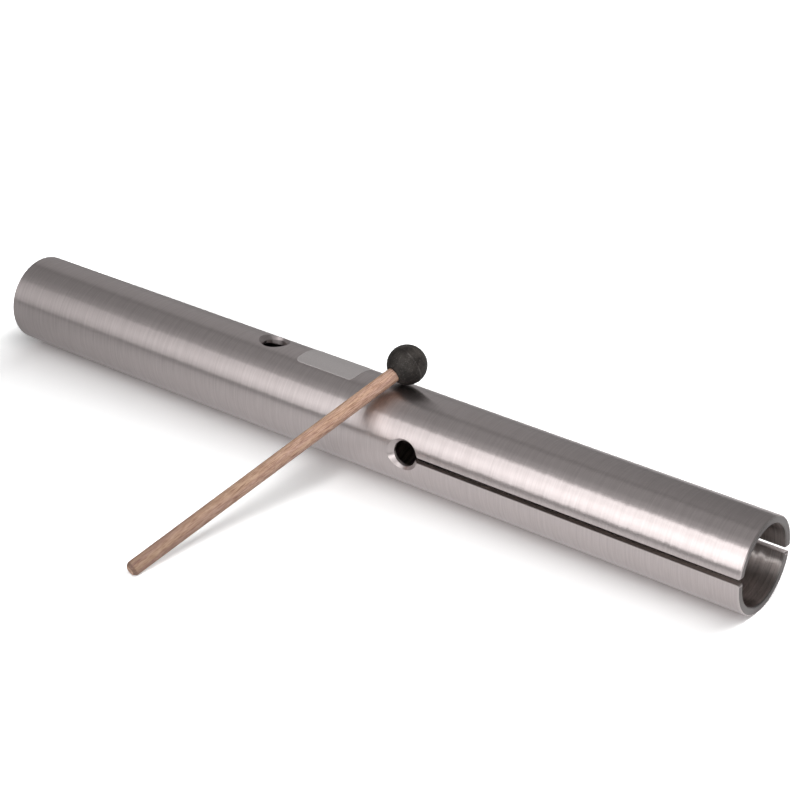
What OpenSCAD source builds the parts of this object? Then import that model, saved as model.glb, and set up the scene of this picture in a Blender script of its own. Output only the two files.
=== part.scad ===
// Wah-wah tube: an aluminium tube, split lengthwise at one end into two tines, with a rubber
// mallet leaning on it. The player strikes a tine and opens and closes the finger hole.
// X runs along the tube to its split end and Z is up. The origin is on the axis at mid-length.

/* [Tube] */
// Outer diameter of the tube
tube_od = 50; // [42:0.5:60]
// Thickness of the tube's wall
tube_wall = 4; // [3:0.25:5]
// Length of the tube
tube_l = 485; // [440:1:560]
// Bevel on the inner and outer edges of both ends
end_bevel = 0.5; // [0.2:0.1:0.8]
// Roll of the tube about its axis as it lies, which lifts the near tine edge
tube_roll = 6.5; // [0:0.5:12]

/* [Slot] */
// Width of the slot between the two tines
slot_w = 2.8; // [2:0.1:3.6]
// Length of a tine, from the split end to the middle of the stop holes
tine_l = 195.2; // [160:0.2:215]
// Break on the slot's long edges, inside and outside
slot_break = 0.25; // [0.1:0.05:0.5]
// Radius on the four corners of the slot's mouth
mouth_r = 1.2; // [0.5:0.1:2]
// Bore of the two holes that stop the slot
stop_bore_d = 14; // [11:0.25:16]
// Width of their countersinks, measured along the tube
stop_sink_d = 19.6; // [17:0.2:21]

/* [Finger hole] */
// Bore of the finger hole
finger_bore_d = 13.6; // [11:0.2:15]
// Width of its countersink, measured along the tube
finger_sink_d = 18.4; // [16:0.2:20]
// Distance from the whole end to the middle of the finger hole
finger_x = 181.3; // [150:0.1:190]

/* [Foil label] */
// Length of the bare foil label, along the tube
label_l = 39; // [30:0.5:45]
// Width of the label across the tube, measured straight
label_w = 20.6; // [14:0.2:24]
// Thickness of the foil
label_t = 0.12; // [0.08:0.01:0.2]
// Thickness of the glue between the foil and the tube
label_glue = 0.03; // [0.02:0.01:0.06]
// Radius of the label's corners
label_r = 3; // [1:0.25:5]
// Distance from the whole end to the label's nearer edge
label_x = 204.5; // [203:0.5:210]

/* [Mallet] */
// Diameter of the rubber ball
ball_d = 21.6; // [18:0.2:28]
// Depth of the ball's blind bore, from the middle of the ball
ball_bore_past = 3.6; // [2:0.1:6]
// Diameter of the dowel
dowel_d = 8; // [6:0.25:10]
// Length from the middle of the ball to the butt of the dowel
mallet_reach = 182.3; // [165:0.1:220]
// Bevel on both ends of the dowel, measured across it
dowel_bevel = 1.4; // [0.5:0.1:2]
// Length of that bevel along the dowel
dowel_bevel_l = 1.8; // [0.5:0.1:3]

/* [Mallet as it leans] */
// Distance from the whole end to the middle of the ball
ball_x = 268.9; // [240:0.1:280]
// Place of the ball round the tube, from the top away from the player
ball_lean = 11.2; // [4:0.1:16]
// Turn of the mallet from square to the tube, butt towards the whole end
mallet_turn = 13.6; // [0:0.2:25]
// Clearance between the ball and the tube that it lies on
rest_clear = 0.2; // [0.1:0.05:0.5]
// Clearance of the dowel in the ball's bore, at the side and at the bottom
dowel_clear = 0.03; // [0.02:0.01:0.1]

/* [Hidden] */
$fn = 96;

// How far a cutter runs past the surface that it cuts
over = 2;
tube_r = tube_od / 2;
bore_r = tube_r - tube_wall;
whole_end = -tube_l / 2;
split_end = tube_l / 2;
stop_x = split_end - tine_l;

// The ball lies on the tube, and the butt of the dowel stands on the same ground as the tube
ball_r = ball_d / 2;
dowel_r = dowel_d / 2;
ball_dist = tube_r + ball_r + rest_clear;
ball_y = ball_dist * sin(ball_lean);
ball_z = ball_dist * cos(ball_lean);
// The butt touches down on the back edge of its bevel, a little short of the full reach
touch_reach = mallet_reach - dowel_bevel_l;
mallet_slope = asin((ball_z + tube_r) / norm([touch_reach, dowel_r])) - atan2(dowel_r, touch_reach);

// Turns a shape that is drawn along Z so that it lies along the tube
module along_tube(x) {
    translate([x, 0, 0]) rotate([0, 90, 0]) children();
}

// Puts a shape that is drawn with the slot level and the finger hole on top into its roll
module rolled() {
    rotate([-tube_roll, 0, 0]) children();
}

// The plain tube: its wall's section, with four bevelled corners, turned about the axis
module tube_blank() {
    section = [
        [bore_r + end_bevel, 0],
        [tube_r - end_bevel, 0],
        [tube_r, end_bevel],
        [tube_r, tube_l - end_bevel],
        [tube_r - end_bevel, tube_l],
        [bore_r + end_bevel, tube_l],
        [bore_r, tube_l - end_bevel],
        [bore_r, end_bevel],
    ];
    along_tube(whole_end) rotate_extrude() polygon(section);
}

// Cutter for a bore with a 90 degree countersink, which points up from the tube's axis
module sunk_bore(bore_d, sink_d) {
    sink_depth = (sink_d - bore_d) / 2;
    cylinder(h = tube_r + over, d = bore_d);
    translate([0, 0, tube_r - sink_depth])
        cylinder(h = sink_depth + over, d1 = bore_d, d2 = sink_d + 2 * over);
}

// Cutter for one side of the slot: square walls, with a break at the inner and the outer surface
module slot_side() {
    half = slot_w / 2;
    edge = [
        [0, half + slot_break],
        [bore_r, half + slot_break],
        [bore_r + slot_break, half],
        [tube_r - slot_break, half],
        [tube_r + over, half + slot_break + over],
    ];
    section = concat(edge, [for (i = [len(edge) - 1:-1:0]) [edge[i][0], -edge[i][1]]]);
    along_tube(stop_x)
        rotate([0, 0, -90])
            linear_extrude(tine_l + over) polygon(section);
}

// Cutter for the slot's mouth: it opens at both tines by the radius of their corners
module slot_mouth() {
    translate([split_end - mouth_r, tube_r + over, 0])
        rotate([90, 0, 0])
            linear_extrude(tube_od + 2 * over)
                difference() {
                    translate([0, -slot_w / 2 - mouth_r])
                        square([mouth_r + over, slot_w + 2 * mouth_r]);
                    for (side = [-1, 1])
                        translate([0, side * (slot_w / 2 + mouth_r)]) circle(mouth_r);
                }
}

module tube() {
    color("#a9a4a2") rolled() difference() {
        tube_blank();
        translate([whole_end + finger_x, 0, 0]) sunk_bore(finger_bore_d, finger_sink_d);
        for (side = [-1, 1]) {
            translate([stop_x, 0, 0])
                rotate([side * 90, 0, 0]) sunk_bore(stop_bore_d, stop_sink_d);
        }
        for (side = [0, 180]) rotate([side, 0, 0]) slot_side();
        slot_mouth();
    }
}

// Outline of the label, with round corners
module label_outline() {
    square([label_l - 2 * label_r, label_w], center = true);
    square([label_l, label_w - 2 * label_r], center = true);
    for (x = [-1, 1], y = [-1, 1])
        translate([x * (label_l / 2 - label_r), y * (label_w / 2 - label_r)]) circle(label_r);
}

module label() {
    foil_r = tube_r + label_glue;
    color("#b7b5b2") rolled() intersection() {
        translate([whole_end + label_x + label_l / 2, 0, 0])
            linear_extrude(tube_r + over) label_outline();
        along_tube(whole_end + label_x - over) difference() {
            cylinder(h = label_l + 2 * over, r = foil_r + label_t);
            translate([0, 0, -over]) cylinder(h = label_l + 4 * over, r = foil_r);
        }
    }
}

// Puts a mallet that is drawn with the ball at the origin and the butt up Z where it leans
module leaning() {
    translate([whole_end + ball_x, ball_y, ball_z])
        rotate([0, 0, -mallet_turn])
            rotate([90 + mallet_slope, 0, 0]) children();
}

module mallet_handle() {
    foot = dowel_clear - ball_bore_past;
    section = [
        [0, foot],
        [dowel_r - dowel_bevel, foot],
        [dowel_r, foot + dowel_bevel_l],
        [dowel_r, mallet_reach - dowel_bevel_l],
        [dowel_r - dowel_bevel, mallet_reach],
        [0, mallet_reach],
    ];
    color("#c19a78") leaning() rotate_extrude() polygon(section);
}

module mallet_head() {
    color("#3a3836") leaning() difference() {
        sphere(ball_r);
        translate([0, 0, -ball_bore_past]) cylinder(h = ball_bore_past + ball_d, r = dowel_r + dowel_clear);
    }
}

tube();
label();
mallet_handle();
mallet_head();
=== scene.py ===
"""A wah-wah tube with its loose mallet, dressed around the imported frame.

The tube lies along X with its split end at +X. The mallet leans on it from the -Y side, with its
ball on the tube and its butt on the ground. Sizes are in millimetres where no comment says metres.
"""
import math

import bpy
import numpy as np
from mathutils import Matrix, Vector

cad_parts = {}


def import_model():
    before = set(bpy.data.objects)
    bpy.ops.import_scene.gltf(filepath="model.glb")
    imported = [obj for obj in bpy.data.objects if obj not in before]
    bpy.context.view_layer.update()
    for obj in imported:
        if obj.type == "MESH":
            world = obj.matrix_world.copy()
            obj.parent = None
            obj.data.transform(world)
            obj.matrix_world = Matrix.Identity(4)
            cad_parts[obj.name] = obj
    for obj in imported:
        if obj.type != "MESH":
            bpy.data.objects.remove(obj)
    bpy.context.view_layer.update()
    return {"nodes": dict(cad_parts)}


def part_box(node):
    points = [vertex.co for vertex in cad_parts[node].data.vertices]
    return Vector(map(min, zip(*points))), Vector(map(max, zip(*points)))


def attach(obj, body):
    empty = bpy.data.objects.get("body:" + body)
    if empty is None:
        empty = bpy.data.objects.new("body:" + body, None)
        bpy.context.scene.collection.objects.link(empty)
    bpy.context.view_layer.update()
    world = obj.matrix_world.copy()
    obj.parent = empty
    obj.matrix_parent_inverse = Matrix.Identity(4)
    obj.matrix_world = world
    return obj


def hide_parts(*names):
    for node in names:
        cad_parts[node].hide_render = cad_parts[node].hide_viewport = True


MM = 0.001

# The camera stands to the right of the tube and looks down on it
CAMERA_PLACE = (581.61, -719.51, 501.89)
CAMERA_DOWN_DEG = 28.06
CAMERA_TURN_DEG = 37.62
LENS = 88.73
SENSOR = 36.0

# The tube's length and roll, where its holes are along it, and how far from a hole's axis and from
# the slot's middle the faces cut there reach
TUBE_L = 485.0
TUBE_ROLL_DEG = 6.5
FINGER_X = -61.2
STOP_X = 47.3
CUT_REACH = 10.0
SLOT_REACH = 1.75

# A drawn groove's width along the tube and its length round it, and how far it tips the unit
# normal round the tube and along it
GROOVE_W = 1.1
GROOVE_L = 24.0
ROUND_TILT = 0.045
LONG_TILT = 0.06

# The foil label's middle, sides and corner radius, and the width of its pressed edge
LABEL_X = -18.5
LABEL_L = 39.0
LABEL_W = 20.6
LABEL_R = 3.0
LABEL_EDGE = 0.5

# From the ball's middle to the butt's face, and the length of the butt's bevel
MALLET_REACH = 182.3
DOWEL_BEVEL_L = 1.8

# The height and width of the ball's parting line, the radius of the lip of its bore, the bore's
# radius and its depth past the ball's middle, and the lip's points and the rings and sides of the
# ball's mesh
SEAM_HEIGHT = 0.12
SEAM_WIDTH = 0.32
LIP_R = 0.35
BALL_BORE_R = 4.03
BALL_BORE_PAST = 3.6
LIP_POINTS = 8
BALL_RINGS = 220
BALL_SIDES = 256

# Half a side of the floor, in metres, and the two distances from the tube between which the
# shadows on it fade to white. The part of a distance that lies along the tube is counted from a
# line short of each end, and is multiplied
FLOOR_HALF = 8.0
FADE_FROM = 35.0
FADE_TO = 250.0
FADE_SHORT = 15.0
FADE_TIMES = 4.5

# The floor that metal mirrors turns dim between two distances in front of the tube, and gets
# brighter from a place on the left to one on the right
DIM_FROM = 350.0
DIM_TO = 500.0
TONE_LEFT = -260.0
TONE_RIGHT = 30.0

# Lamps and lit cards, in metres: name, middle, aim, width and height, radiance, and the kind of
# surface that it lights
LAMPS = (
    ("overhead_strip", (0.52, 0.35, 1.05), (0, 0.35, -0.025), (3.5, 0.45), 6.0, "dull"),
    ("soft_box", (-0.25, -1.280, 0.740), (-0.25, 0, 0), (1.0, 1.3), 0.3, "dull"),
    ("front_card", (-0.18, -1.108, 0.640), (-0.18, 0, 0), (1.1, 1.139), 1.8, "metal"),
    ("front_card_middle", (-0.18, -1.240, 0.640), (-0.18, 0, 0), (1.0, 0.365), 0.32, "metal"),
    ("right_card", (0.90, -1.00, 0.55), (0, 0, 0), (1.0, 1.0), 1.1, "metal"),
    ("right_card_foot", (0.88, -0.97, 0.38), (0, 0, 0), (1.0, 0.3), 1.5, "metal"),
    ("finger_card", (-0.06, -0.83, 1.06), (-0.06, 0, 0), (0.3, 0.3), 0.9, "metal"),
    ("shoulder_card", (-0.3, -0.561, 1.100), (-0.3, 0, 0), (1.4, 0.391), 0.12, "metal"),
    ("top_card", (-0.3, -0.234, 1.262), (-0.3, 0, 0), (1.6, 1.116), 0.17, "metal"),
    ("back_card", (-0.98, 0.955, 0.746), (-0.98, 0, 0), (1.1, 1.400), 0.20, "metal"),
)


def colour(hex_code):
    """Linear RGBA of an sRGB hex colour: a channel c is c / 12.92 up to 0.04045, and above that
    ((c + 0.055) / 1.055) to the power 2.4."""
    channels = [int(hex_code[i:i + 2], 16) / 255 for i in (0, 2, 4)]
    linear = [c / 12.92 if c <= 0.04045 else ((c + 0.055) / 1.055) ** 2.4 for c in channels]
    return (*linear, 1.0)


def add(material, kind, inputs=None, stops=(), **settings):
    """Adds one node to a material, or to the world, and returns its first live output, or the node
    if it has none.

    settings are the node's own properties, inputs gives its live sockets, by name or number, a
    value or another node's output, and stops are a colour ramp's places and hex colours.
    """
    tree = material.node_tree
    node = tree.nodes.new(kind)
    for name, value in settings.items():
        setattr(node, name, value)
    for key, value in (inputs or {}).items():
        named = [s for s in node.inputs if s.enabled and s.name == key]
        socket = named[0] if named else node.inputs[key]
        if isinstance(value, bpy.types.NodeSocket):
            tree.links.new(value, socket)
        else:
            socket.default_value = value
    for number, (place, hex_code) in enumerate(stops):
        ramp = node.color_ramp.elements
        element = ramp[number] if number < len(ramp) else ramp.new(place)
        element.position = place
        element.color = colour(hex_code)
    live = [s for s in node.outputs if s.enabled]
    return live[0] if live else node


def new_material(name):
    """A material with an empty node tree."""
    material = bpy.data.materials.new(name)
    material.use_nodes = True
    material.node_tree.nodes.clear()
    return material


def brushed_aluminium():
    """Drawn aluminium tube, brushed round and round with a fine belt while it turned in a lathe.

    The grooves run round the tube, so each highlight is drawn out along it and its long edges are
    combed. The holes' chamfers are turned and nearly polished, the ends are faced, the slot is
    sawn, and the bore has coarser rings than the skin.
    """
    m = new_material("brushed_aluminium")
    place = add(m, "ShaderNodeTexCoord").node.outputs["Object"]
    face = add(m, "ShaderNodeNewGeometry").node.outputs["Normal"]

    # The skin and the bore are truly round: their normal points straight away from the axis
    across = add(m, "ShaderNodeVectorMath", {0: place, 1: (0, 1, 1)}, operation="MULTIPLY")
    radial = add(m, "ShaderNodeVectorMath", {0: across}, operation="NORMALIZE")
    around = add(m, "ShaderNodeVectorMath", {0: (1, 0, 0), 1: radial}, operation="CROSS_PRODUCT")
    facing = add(m, "ShaderNodeVectorMath", {0: face, 1: radial}, operation="DOT_PRODUCT")
    outward = add(m, "ShaderNodeMath", {0: facing}, operation="SIGN")
    squareness = add(m, "ShaderNodeMath", {0: facing}, operation="ABSOLUTE")
    round_limit = 0.985
    is_round = add(m, "ShaderNodeMath", {0: squareness, 1: round_limit}, operation="GREATER_THAN")
    in_bore = add(m, "ShaderNodeMath", {0: facing, 1: -round_limit}, operation="LESS_THAN")
    true_normal = add(m, "ShaderNodeVectorMath", {0: radial, "Scale": outward}, operation="SCALE")
    normal = add(m, "ShaderNodeMix", {"Factor": is_round, "A": face, "B": true_normal}, data_type="VECTOR")

    # Grooves: each is about 0.1 mm wide on the real tube, and drawn 1.1 mm wide here so that it
    # shows, 24 mm long round the tube. They tip the surface a little both ways, and twice as much
    # in the bore
    groove = (1 / (GROOVE_W * MM), 1 / (GROOVE_L * MM), 1 / (GROOVE_L * MM))
    grooves_at = add(m, "ShaderNodeMapping", {"Vector": place, "Scale": groove})
    grooves = add(m, "ShaderNodeTexNoise", {"Vector": grooves_at, "Scale": 1.0, "Detail": 2.0,
                                            "Roughness": 0.7})
    split = add(m, "ShaderNodeSeparateColor", {"Color": grooves.node.outputs["Color"]}).node.outputs
    depth = add(m, "ShaderNodeMath", {0: in_bore, 1: 1.0, 2: 1.0}, operation="MULTIPLY_ADD")
    round_tilt = add(m, "ShaderNodeMapRange", {"Value": split[0], "To Min": -ROUND_TILT,
                                               "To Max": ROUND_TILT}, clamp=False)
    long_tilt = add(m, "ShaderNodeMapRange", {"Value": split[1], "To Min": -LONG_TILT,
                                              "To Max": LONG_TILT}, clamp=False)
    tilted = add(m, "ShaderNodeVectorMath", {0: around, "Scale": round_tilt}, operation="SCALE")
    tipped = add(m, "ShaderNodeVectorMath", {0: (1, 0, 0), "Scale": long_tilt}, operation="SCALE")
    tilt = add(m, "ShaderNodeVectorMath", {0: tilted, 1: tipped}, operation="ADD")
    deep_tilt = add(m, "ShaderNodeVectorMath", {0: tilt, "Scale": depth}, operation="SCALE")
    kept_tilt = add(m, "ShaderNodeVectorMath", {0: deep_tilt, "Scale": is_round}, operation="SCALE")
    uneven = add(m, "ShaderNodeVectorMath", {0: normal, 1: kept_tilt}, operation="ADD")
    ground = add(m, "ShaderNodeVectorMath", {0: uneven}, operation="NORMALIZE")

    # Faces cut round a hole are turned about that hole's own axis. A chamfer leans halfway between
    # the way out of the hole and the way in to its axis, and the wall of a bore looks at its axis. A
    # face whose normal is more than 0.35 of the way out is a chamfer's
    x = add(m, "ShaderNodeSeparateXYZ", {0: place})
    at_finger = add(m, "ShaderNodeMath", {0: x, 1: 0.0}, operation="LESS_THAN")
    roll = math.radians(TUBE_ROLL_DEG)
    stop_axis = (0, -math.cos(roll), math.sin(roll))
    finger_axis = (0, math.sin(roll), math.cos(roll))
    axis = add(m, "ShaderNodeMix", {"Factor": at_finger, "A": stop_axis, "B": finger_axis},
               data_type="VECTOR")
    stop_middle = (STOP_X * MM, 0, 0)
    finger_middle = (FINGER_X * MM, 0, 0)
    middle = add(m, "ShaderNodeMix", {"Factor": at_finger, "A": stop_middle, "B": finger_middle},
                 data_type="VECTOR")
    from_hole = add(m, "ShaderNodeVectorMath", {0: place, 1: middle}, operation="SUBTRACT")
    hole_turn = add(m, "ShaderNodeVectorMath", {0: axis, 1: from_hole}, operation="CROSS_PRODUCT")
    off_axis = add(m, "ShaderNodeVectorMath", {0: hole_turn}, operation="LENGTH").node.outputs["Value"]
    near_hole = add(m, "ShaderNodeMath", {0: off_axis, 1: CUT_REACH * MM}, operation="LESS_THAN")
    height = add(m, "ShaderNodeVectorMath", {0: place, 1: finger_axis}, operation="DOT_PRODUCT")
    off_plane = add(m, "ShaderNodeMath", {0: height}, operation="ABSOLUTE")
    level = add(m, "ShaderNodeMath", {0: off_plane, 1: SLOT_REACH * MM}, operation="LESS_THAN")
    past_stop = add(m, "ShaderNodeMath", {0: x, 1: STOP_X * MM}, operation="GREATER_THAN")
    at_slot = add(m, "ShaderNodeMath", {0: level, 1: past_stop}, operation="MULTIPLY")
    other = add(m, "ShaderNodeMath", {0: is_round, 1: at_slot}, operation="MAXIMUM")
    is_cut = add(m, "ShaderNodeMath", {0: near_hole, 1: other}, operation="SUBTRACT", use_clamp=True)
    to_axis = add(m, "ShaderNodeVectorMath", {0: axis, 1: hole_turn}, operation="CROSS_PRODUCT")
    wall_normal = add(m, "ShaderNodeVectorMath", {0: to_axis}, operation="NORMALIZE")
    out_there = add(m, "ShaderNodeVectorMath", {0: place, 1: axis}, operation="DOT_PRODUCT")
    side = add(m, "ShaderNodeMath", {0: out_there}, operation="SIGN")
    way_out = add(m, "ShaderNodeVectorMath", {0: axis, "Scale": side}, operation="SCALE")
    opened = add(m, "ShaderNodeVectorMath", {0: face, 1: way_out}, operation="DOT_PRODUCT")
    is_chamfer = add(m, "ShaderNodeMath", {0: opened, 1: 0.35}, operation="GREATER_THAN")
    lean = add(m, "ShaderNodeVectorMath", {0: way_out, "Scale": is_chamfer}, operation="SCALE")
    leaning = add(m, "ShaderNodeVectorMath", {0: wall_normal, 1: lean}, operation="ADD")
    cut_normal = add(m, "ShaderNodeVectorMath", {0: leaning}, operation="NORMALIZE")
    finished = add(m, "ShaderNodeMix", {"Factor": is_cut, "A": ground, "B": cut_normal}, data_type="VECTOR")

    # The slot's faces are level with it, and the saw's marks cross them. The normal of an end runs
    # along the tube by more than 0.99, and that of its inner bevel, which also looks in to the
    # tube's axis, by more than 0.59
    upright = add(m, "ShaderNodeVectorMath", {0: face, 1: finger_axis}, operation="DOT_PRODUCT")
    upright_size = add(m, "ShaderNodeMath", {0: upright}, operation="ABSOLUTE")
    is_level = add(m, "ShaderNodeMath", {0: upright_size, 1: 0.9}, operation="GREATER_THAN")
    in_slot = add(m, "ShaderNodeMath", {0: is_level, 1: at_slot}, operation="MULTIPLY")
    slot_turn = add(m, "ShaderNodeMix", {"Factor": in_slot, "A": around, "B": radial}, data_type="VECTOR")
    grain = add(m, "ShaderNodeMix", {"Factor": is_cut, "A": slot_turn, "B": hole_turn}, data_type="VECTOR")
    endwise = add(m, "ShaderNodeSeparateXYZ", {0: face})
    endwise_size = add(m, "ShaderNodeMath", {0: endwise}, operation="ABSOLUTE")
    faces_in = add(m, "ShaderNodeMath", {0: facing, 1: -0.5}, operation="LESS_THAN")
    end_limit = add(m, "ShaderNodeMath", {0: faces_in, 1: -0.4, 2: 0.99}, operation="MULTIPLY_ADD")
    is_end = add(m, "ShaderNodeMath", {0: endwise_size, 1: end_limit}, operation="GREATER_THAN")
    at_back = add(m, "ShaderNodeMath", {0: x.node.outputs["Y"], 1: 0.0}, operation="GREATER_THAN")
    in_back_slot = add(m, "ShaderNodeMath", {0: in_slot, 1: at_back}, operation="MULTIPLY")

    # The faced ends, with their inner bevels, and the bore are duller than the brushed skin, and are
    # painted darker: the ends and inner bevels much darker, mostly as painted shade, and the bore a
    # little, as a duller finish and painted shade. The slot's sawn faces are rough and bare in front,
    # and frosted by the blade at the back
    bright = add(m, "ShaderNodeValToRGB", {"Fac": split[2]}, stops=((0.30, "cfc5c4"), (0.70, "dbd1d0")))
    # The bore's colours are a little darker than the skin's: a duller finish and painted shade in the bore
    dull = add(m, "ShaderNodeValToRGB", {"Fac": split[2]}, stops=((0.35, "bab2af"), (0.65, "d9d0cd")))
    with_shaded_bore = add(m, "ShaderNodeMix", {"Factor": in_bore, "A": bright, "B": dull}, data_type="RGBA")
    # The ends and their inner bevels are painted much darker than the skin: painted shade, with a little of
    # it a duller faced finish
    with_shaded_ends = add(m, "ShaderNodeMix", {"Factor": is_end, "A": with_shaded_bore, "B": colour("8a8584")},
                    data_type="RGBA")
    sawn = add(m, "ShaderNodeMix", {"Factor": at_back, "A": colour("d6cac5"), "B": colour("cfc7c6")},
               data_type="RGBA")
    shade = add(m, "ShaderNodeMix", {"Factor": in_slot, "A": with_shaded_ends, "B": sawn}, data_type="RGBA")
    metallic = add(m, "ShaderNodeMath", {0: in_back_slot, 1: -0.8, 2: 1.0}, operation="MULTIPLY_ADD")
    skin_gloss = add(m, "ShaderNodeMapRange", {"Value": split[0], "From Min": 0.3, "From Max": 0.7,
                                               "To Min": 0.29, "To Max": 0.31})
    bore_gloss = add(m, "ShaderNodeMix", {"Factor": in_bore, "A": skin_gloss, "B": 0.31})
    end_gloss = add(m, "ShaderNodeMix", {"Factor": is_end, "A": bore_gloss, "B": 0.42})
    slot_gloss = add(m, "ShaderNodeMix", {"Factor": in_slot, "A": end_gloss, "B": 0.9})
    gloss = add(m, "ShaderNodeMix", {"Factor": is_cut, "A": slot_gloss, "B": 0.34})
    metal = add(m, "ShaderNodeBsdfPrincipled", {
        "Base Color": shade, "Metallic": metallic, "Roughness": gloss, "Normal": finished,
        "Tangent": grain, "Anisotropic": 0.9, "Anisotropic Rotation": 0.25})
    add(m, "ShaderNodeOutputMaterial", {"Surface": metal})
    return m


def matt_foil():
    """A bare foil label: aluminium foil with a matt coat, paler and softer than the tube, whose
    pressed edge is painted paler: a painted highlight."""
    m = new_material("matt_foil")
    place = add(m, "ShaderNodeTexCoord").node.outputs["Object"]
    turned_back = (-math.radians(TUBE_ROLL_DEG), 0, 0)
    flat = add(m, "ShaderNodeMapping", {"Vector": place, "Location": (LABEL_X * MM, 0, 0),
                                        "Rotation": turned_back}, vector_type="TEXTURE")
    level = add(m, "ShaderNodeVectorMath", {0: flat, 1: (1, 1, 0)}, operation="MULTIPLY")
    size = add(m, "ShaderNodeVectorMath", {0: level}, operation="ABSOLUTE")

    # Distance past the rounded outline's core: the corner's radius on the outline itself
    core = ((LABEL_L / 2 - LABEL_R) * MM, (LABEL_W / 2 - LABEL_R) * MM, 0)
    past = add(m, "ShaderNodeVectorMath", {0: size, 1: core}, operation="SUBTRACT")
    outside = add(m, "ShaderNodeVectorMath", {0: past, 1: (0, 0, 0)}, operation="MAXIMUM")
    reach = add(m, "ShaderNodeVectorMath", {0: outside}, operation="LENGTH")
    edge = add(m, "ShaderNodeMapRange", {"Value": reach, "From Min": (LABEL_R - LABEL_EDGE) * MM,
                                         "From Max": LABEL_R * MM})

    # The coat's grain is about 0.1 mm, and drawn 0.6 mm wide so that it shows
    coat = add(m, "ShaderNodeTexNoise", {"Vector": place, "Scale": 1 / (0.6 * MM), "Detail": 3.0})
    shade = add(m, "ShaderNodeValToRGB", {"Fac": coat}, stops=((0.35, "cfc9c8"), (0.65, "d6d0cf")))
    # The pressed edge is painted paler: a painted highlight
    with_edge_highlight = add(m, "ShaderNodeMix", {"Factor": edge, "A": shade, "B": colour("ebe6e5")}, data_type="RGBA")
    bump = add(m, "ShaderNodeBump", {"Height": coat, "Strength": 0.15, "Distance": 0.05 * MM})
    foil = add(m, "ShaderNodeBsdfPrincipled", {
        "Base Color": with_edge_highlight, "Metallic": 0.8, "Roughness": 0.5, "Normal": bump})
    add(m, "ShaderNodeOutputMaterial", {"Surface": foil})
    return m


def sanded_beech(axes, middle):
    """Steamed beech dowel, turned and sanded but not varnished: a dull pinkish brown, with fine
    pale and tan streaks along it and the short dark flecks that beech has."""
    m = new_material("sanded_beech")
    place = add(m, "ShaderNodeTexCoord").node.outputs["Object"]
    along = add(m, "ShaderNodeMapping", {"Vector": place, "Location": middle, "Rotation": axes.to_euler()},
                vector_type="TEXTURE")

    # Growth bands about 3 mm wide and vessels about 0.1 mm wide, drawn 0.45 mm wide here
    band = (1 / (3.0 * MM), 1 / (3.0 * MM), 1 / (60 * MM))
    bands_at = add(m, "ShaderNodeMapping", {"Vector": along, "Scale": band})
    bands = add(m, "ShaderNodeTexNoise", {"Vector": bands_at, "Scale": 1.0, "Detail": 2.0})
    vessel = (1 / (0.45 * MM), 1 / (0.45 * MM), 1 / (6 * MM))
    vessels_at = add(m, "ShaderNodeMapping", {"Vector": along, "Scale": vessel})
    vessels = add(m, "ShaderNodeTexNoise", {"Vector": vessels_at, "Scale": 1.0, "Detail": 3.0,
                                            "Roughness": 0.6})
    broad = add(m, "ShaderNodeValToRGB", {"Fac": bands},
                stops=((0.35, "b39688"), (0.50, "b99b87"), (0.65, "bda089")))
    fine = add(m, "ShaderNodeValToRGB", {"Fac": vessels},
               stops=((0.34, "b5a29a"), (0.48, "ebe3de"), (0.66, "ffffff")))
    streaked = add(m, "ShaderNodeMix", {"Factor": 1.0, "A": broad, "B": fine}, data_type="RGBA",
                   blend_type="MULTIPLY")

    # Ray flecks, 0.5 mm wide and 2.2 mm long
    fleck = (1 / (0.5 * MM), 1 / (0.5 * MM), 1 / (2.2 * MM))
    flecks_at = add(m, "ShaderNodeMapping", {"Vector": along, "Scale": fleck})
    flecks = add(m, "ShaderNodeTexNoise", {"Vector": flecks_at, "Scale": 1.0, "Detail": 1.0})
    marked = add(m, "ShaderNodeMapRange", {"Value": flecks, "From Min": 0.56, "From Max": 0.72,
                                           "To Max": 0.6})
    flecked = add(m, "ShaderNodeMix", {"Factor": marked, "A": streaked, "B": colour("8a6458")},
                  data_type="RGBA")

    # The wood is painted lighter towards the ball and darker towards the butt: painted light and shade
    # along the dowel. The bevel round the butt is painted dark, from 0.3 mm short of it: partly end
    # grain, partly painted shade. The butt's own face, within 0.2 mm of its end, is painted lighter and
    # without flecks: painted light
    reach = add(m, "ShaderNodeSeparateXYZ", {0: along}).node.outputs[2]
    # Painted light and shade: the wood's colour is scaled up towards the ball and down towards the butt
    painted_light_along = add(m, "ShaderNodeMapRange", {"Value": reach, "From Min": 20 * MM, "From Max": 180 * MM,
                                            "To Min": 1.36, "To Max": 0.86})
    painted_light_wood = add(m, "ShaderNodeVectorMath", {0: flecked, "Scale": painted_light_along}, operation="SCALE")
    bevel_start = MALLET_REACH - DOWEL_BEVEL_L
    # The bevel ring is painted dark: partly end grain, partly painted shade
    at_bevel = add(m, "ShaderNodeMapRange", {"Value": reach, "From Min": (bevel_start - 0.3) * MM,
                                             "From Max": bevel_start * MM, "To Max": 0.45})
    at_face = add(m, "ShaderNodeMapRange", {"Value": reach, "From Min": (MALLET_REACH - 0.2) * MM,
                                            "From Max": (MALLET_REACH - 0.05) * MM})
    ringed = add(m, "ShaderNodeMix", {"Factor": at_bevel, "A": painted_light_wood, "B": colour("6f4e44")},
                 data_type="RGBA")
    # The butt's face is painted 1.6 times lighter, without flecks: painted light
    painted_lit_face = add(m, "ShaderNodeVectorMath", {0: streaked, "Scale": 1.6}, operation="SCALE")
    shade = add(m, "ShaderNodeMix", {"Factor": at_face, "A": ringed, "B": painted_lit_face}, data_type="RGBA")
    bump = add(m, "ShaderNodeBump", {"Height": vessels, "Strength": 0.35, "Distance": 0.1 * MM})
    wood = add(m, "ShaderNodeBsdfPrincipled", {"Base Color": shade, "Roughness": 0.6, "Normal": bump})
    add(m, "ShaderNodeOutputMaterial", {"Surface": wood})
    return m


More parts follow.
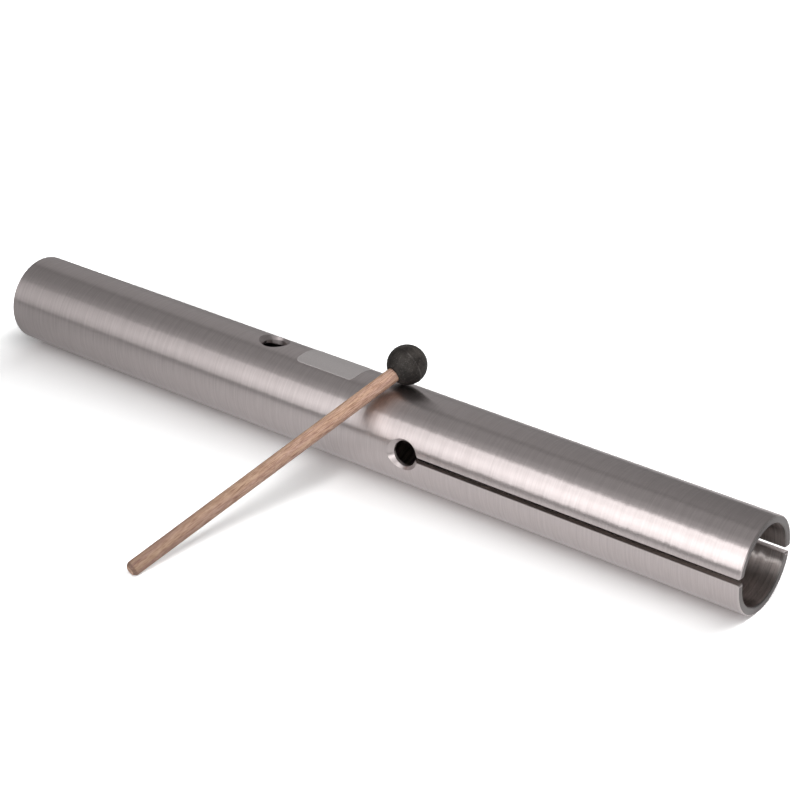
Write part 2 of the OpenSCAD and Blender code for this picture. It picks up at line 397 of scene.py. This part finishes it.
def moulded_rubber(axes, middle):
    """Black rubber from a two-part mould: charcoal and matt, with a bloom in soft clouds, and dust
    in specks all over and along its parting line."""
    m = new_material("moulded_rubber")
    place = add(m, "ShaderNodeTexCoord").node.outputs["Object"]
    along = add(m, "ShaderNodeMapping", {"Vector": place, "Location": middle, "Rotation": axes.to_euler()},
                vector_type="TEXTURE")
    height = add(m, "ShaderNodeSeparateXYZ", {0: along}).node.outputs[2]

    # Dust lies on the parting line and up to 0.6 mm from it. The clouds of bloom are about 5 mm
    # wide. Specks of dust are about 0.1 mm wide, and drawn 0.7 mm wide here so that they show
    off_seam = add(m, "ShaderNodeMath", {0: height}, operation="ABSOLUTE")
    dust = add(m, "ShaderNodeMapRange", {"Value": off_seam, "From Min": 0.1 * MM, "From Max": 0.6 * MM,
                                         "To Min": 0.3, "To Max": 0.0})
    bloom = add(m, "ShaderNodeTexNoise", {"Vector": place, "Scale": 1 / (5 * MM), "Detail": 5.0,
                                          "Roughness": 0.6})
    plain = add(m, "ShaderNodeValToRGB", {"Fac": bloom}, stops=((0.38, "252220"), (0.64, "3d3936")))
    settled = add(m, "ShaderNodeMapRange", {"Value": bloom, "From Min": 0.42, "From Max": 0.60})
    patchy = add(m, "ShaderNodeMath", {0: dust, 1: settled}, operation="MULTIPLY")
    grain = add(m, "ShaderNodeTexNoise", {"Vector": place, "Scale": 1 / (0.7 * MM), "Detail": 2.0})
    specks = add(m, "ShaderNodeMapRange", {"Value": grain, "From Min": 0.56, "From Max": 0.72,
                                           "To Max": 0.2})
    dusty = add(m, "ShaderNodeMath", {0: patchy, 1: specks}, operation="MAXIMUM")
    shade = add(m, "ShaderNodeMix", {"Factor": dusty, "A": plain, "B": colour("8a8482")}, data_type="RGBA")
    bump = add(m, "ShaderNodeBump", {"Height": grain, "Strength": 0.2, "Distance": 0.05 * MM})
    gloss = add(m, "ShaderNodeMapRange", {"Value": bloom, "From Min": 0.38, "From Max": 0.64,
                                          "To Min": 0.52, "To Max": 0.64})
    rubber = add(m, "ShaderNodeBsdfPrincipled", {"Base Color": shade, "Roughness": gloss, "Normal": bump,
                                                 "Specular IOR Level": 0.2})
    add(m, "ShaderNodeOutputMaterial", {"Surface": rubber})
    return m


def studio_paper():
    """White paper under the tube. The camera sees it burnt out to white apart from the shadows,
    which fade away from the tube. Metal sees it darker, with a glow of its own, and dimmer still to
    the left and further than half a metre in front."""
    m = new_material("studio_paper")
    rays = add(m, "ShaderNodeLightPath").node.outputs
    place = add(m, "ShaderNodeTexCoord").node.outputs["Object"]
    x, y = add(m, "ShaderNodeSeparateXYZ", {0: place}).node.outputs[:2]
    beyond = add(m, "ShaderNodeMapRange", {"Value": y, "From Min": -DIM_FROM * MM,
                                           "From Max": -DIM_TO * MM})
    rightward = add(m, "ShaderNodeMapRange", {"Value": x, "From Min": TONE_LEFT * MM,
                                              "From Max": TONE_RIGHT * MM, "To Min": 0.19,
                                              "To Max": 0.32})
    mirrored = add(m, "ShaderNodeMix", {"Factor": beyond, "A": rightward, "B": 0.12})
    seen = add(m, "ShaderNodeMix", {"Factor": rays["Is Camera Ray"], "A": 0.9, "B": 1.16})
    shown = add(m, "ShaderNodeMix", {"Factor": rays["Is Glossy Ray"], "A": seen, "B": mirrored})
    paper = add(m, "ShaderNodeBsdfDiffuse", {"Color": shown})

    # The glow that metal sees, and the white that shadows fade to. The fade goes by the length of a
    # step that is made of how far a point lies beside the tube's axis, and of 4.5 times how far it
    # lies past a line 15 mm short of the tube's end
    even = add(m, "ShaderNodeMath", {0: mirrored, 1: 1.25}, operation="MULTIPLY")
    for_metal = add(m, "ShaderNodeMath", {0: even, 1: rays["Is Glossy Ray"]}, operation="MULTIPLY")
    spread = add(m, "ShaderNodeVectorMath", {0: place}, operation="ABSOLUTE")
    fade_start = ((TUBE_L / 2 - FADE_SHORT) * MM, 0, 0)
    past_start = add(m, "ShaderNodeVectorMath", {0: spread, 1: fade_start}, operation="SUBTRACT")
    beside = add(m, "ShaderNodeVectorMath", {0: past_start, 1: (0, 0, 0)}, operation="MAXIMUM")
    counted = add(m, "ShaderNodeVectorMath", {0: beside, 1: (FADE_TIMES, 1, 0)}, operation="MULTIPLY")
    away = add(m, "ShaderNodeVectorMath", {0: counted}, operation="LENGTH").node.outputs["Value"]
    faded = add(m, "ShaderNodeMapRange", {"Value": away, "From Min": FADE_FROM * MM,
                                          "From Max": FADE_TO * MM})
    glow = add(m, "ShaderNodeMath", {0: faded, 1: rays["Is Camera Ray"], 2: for_metal},
               operation="MULTIPLY_ADD")
    lit = add(m, "ShaderNodeEmission", {"Color": (1, 1, 1, 1), "Strength": glow})
    both = add(m, "ShaderNodeAddShader", {0: paper, 1: lit})
    add(m, "ShaderNodeOutputMaterial", {"Surface": both})
    return m


def wear(piece, material):
    """Gives every material slot of an object this material, and a new slot if it has none."""
    for slot in piece.material_slots:
        slot.material = material
    if not piece.material_slots:
        piece.data.materials.append(material)


def vertices_of(piece):
    """An object's vertices as rows of x, y, z."""
    places = np.zeros(len(piece.data.vertices) * 3)
    piece.data.vertices.foreach_get("co", places)
    return places.reshape(-1, 3)


def mallet_axes(ball_middle, handle):
    """The mallet's own axes as a matrix: Z runs from the ball's middle to the middle of the butt,
    whose vertices are the farthest from the ball, and X is level."""
    places = vertices_of(handle)
    reach = np.linalg.norm(places - np.array(ball_middle), axis=1)
    butt = places[reach > reach.max() - 0.01 * MM].mean(axis=0)
    z = (Vector(butt) - ball_middle).normalized()
    x = z.cross(Vector((0, 0, 1))).normalized()
    y = z.cross(x)
    return Matrix((x, y, z)).transposed()


def ball_profile(ball_r):
    """Half section of the ball as rows of distance from the mallet's axis and height along it.

    It starts in the middle of the blind bore's bottom, goes up the bore's wall, round the lip and
    round the ball to its far pole. The ball's radius is the plain radius plus the seam's height
    times exp(-d * d), where d is the distance from the equator in seam widths.
    """
    plain_r = ball_r - SEAM_HEIGHT
    lip_ring = BALL_BORE_R + LIP_R
    lip_height = math.sqrt((plain_r - LIP_R) ** 2 - lip_ring ** 2)
    start = math.atan2(lip_ring, lip_height)
    lip_angles = np.linspace(math.pi, math.pi / 2 - start, LIP_POINTS)
    angles = np.linspace(start, math.pi, BALL_RINGS)
    from_equator = (angles - math.pi / 2) * plain_r / SEAM_WIDTH
    radii = plain_r + SEAM_HEIGHT * np.exp(-from_equator ** 2)
    skin = np.stack([radii * np.sin(angles), radii * np.cos(angles)], axis=1)
    lip = np.stack([lip_ring + LIP_R * np.cos(lip_angles), lip_height + LIP_R * np.sin(lip_angles)], axis=1)
    bore = np.array([[0.0, -BALL_BORE_PAST], [BALL_BORE_R, -BALL_BORE_PAST]])
    profile = np.concatenate([bore, lip[:-1], skin])
    profile[-1, 0] = 0.0
    return profile


def turned(name, profile, axes, middle, sides):
    """A closed mesh turned from a half section about the mallet's axis: a point at distance d and
    height h stands at middle + X * d * cos(t) + Y * d * sin(t) + Z * h, for the angle t of each side.
    The first and last points lie on the axis and become one vertex each."""
    angles = np.linspace(0, 2 * math.pi, sides, endpoint=False)
    rings = profile[1:-1]
    ring_x = rings[:, :1] * np.cos(angles)
    ring_y = rings[:, :1] * np.sin(angles)
    ring_z = np.repeat(rings[:, 1:], sides, axis=1)
    grid = np.stack([ring_x, ring_y, ring_z], axis=2).reshape(-1, 3)
    poles = np.array([[0.0, 0.0, profile[0, 1]], [0.0, 0.0, profile[-1, 1]]])
    local = np.concatenate([grid, poles]) * MM
    places = local @ np.array(axes).T + np.array(middle)

    count = len(rings)
    row = np.arange(count - 1)[:, None] * sides
    turn = np.arange(sides)
    after = (turn + 1) % sides
    corners = [row + turn, row + sides + turn, row + sides + after, row + after]
    quads = np.stack(corners, axis=2).reshape(-1, 4)
    first, last = count * sides, count * sides + 1
    end = (count - 1) * sides
    first_cap = np.stack([np.full(sides, first), turn, after], axis=1)
    last_cap = np.stack([np.full(sides, last), end + after, end + turn], axis=1)
    mesh = bpy.data.meshes.new(name)
    mesh.from_pydata(places.tolist(), [], quads.tolist() + first_cap.tolist() + last_cap.tolist())
    mesh.validate()
    mesh.update()
    mesh.shade_smooth()
    piece = bpy.data.objects.new(name, mesh)
    bpy.context.scene.collection.objects.link(piece)
    return piece


def rubber_ball(middle, axes, ball_r):
    """The mallet's moulded ball, with its parting line round the equator square to the handle."""
    ball = turned("rubber_ball", ball_profile(ball_r), axes, middle, BALL_SIDES)
    wear(ball, moulded_rubber(axes, middle))
    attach(ball, "mallet")
    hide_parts("mallet_head")


def floor(height):
    """A wide floor of white paper at the object's foot, whose height is in metres."""
    mesh = bpy.data.meshes.new("floor")
    sides = [(-1, -1), (1, -1), (1, 1), (-1, 1)]
    corners = [(x * FLOOR_HALF, y * FLOOR_HALF, height) for x, y in sides]
    mesh.from_pydata(corners, [], [(0, 1, 2, 3)])
    piece = bpy.data.objects.new("floor", mesh)
    bpy.context.scene.collection.objects.link(piece)
    wear(piece, studio_paper())


def lamp(name, place, aim, size, radiance, lights_up):
    """A soft rectangular lamp or lit card, all in metres. Its power is its radiance times pi times
    its area. lights_up is dull for a lamp that lights matt surfaces, and metal for a card that is
    only mirrored in glossy ones."""
    light = bpy.data.lights.new(name, "AREA")
    light.shape = "RECTANGLE"
    light.size, light.size_y = size
    light.energy = radiance * math.pi * size[0] * size[1]
    piece = bpy.data.objects.new(name, light)
    bpy.context.scene.collection.objects.link(piece)
    piece.location = place
    piece.rotation_euler = (Vector(aim) - Vector(place)).to_track_quat("-Z", "Y").to_euler()
    piece.visible_glossy = lights_up == "metal"
    piece.visible_diffuse = lights_up == "dull"


def camera():
    """The camera at the photograph's viewing angle, level from side to side."""
    lens = bpy.data.cameras.new("camera")
    lens.lens = LENS
    lens.sensor_width = SENSOR
    piece = bpy.data.objects.new("camera", lens)
    bpy.context.scene.collection.objects.link(piece)
    piece.location = Vector(CAMERA_PLACE) * MM
    piece.rotation_euler = (math.radians(90 - CAMERA_DOWN_DEG), 0, math.radians(CAMERA_TURN_DEG))
    bpy.context.scene.camera = piece


def room():
    """A dim grey room, a little brighter in metal, which the camera sees as a white backdrop."""
    world = bpy.data.worlds.new("room")
    bpy.context.scene.world = world
    world.use_nodes = True
    world.node_tree.nodes.clear()
    rays = add(world, "ShaderNodeLightPath").node.outputs
    dim = add(world, "ShaderNodeMix", {"Factor": rays["Is Glossy Ray"], "A": 0.05, "B": 0.19})
    strength = add(world, "ShaderNodeMix", {"Factor": rays["Is Camera Ray"], "A": dim, "B": 1.0})
    light = add(world, "ShaderNodeBackground", {"Color": (1, 1, 1, 1), "Strength": strength})
    add(world, "ShaderNodeOutputWorld", {"Surface": light})


def main():
    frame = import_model()
    camera()
    nodes = frame["nodes"]

    low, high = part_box("mallet_head")
    ball_middle = (low + high) / 2
    ball_r = (high.x - low.x) / 2 / MM
    axes = mallet_axes(ball_middle, nodes["mallet_handle"])

    wear(nodes["tube"], brushed_aluminium())
    wear(nodes["label"], matt_foil())
    wear(nodes["mallet_handle"], sanded_beech(axes, ball_middle))
    rubber_ball(ball_middle, axes, ball_r)

    room()
    floor(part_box("tube")[0].z)
    for settings in LAMPS:
        lamp(*settings)

    bpy.context.scene.view_settings.view_transform = "Standard"


main()
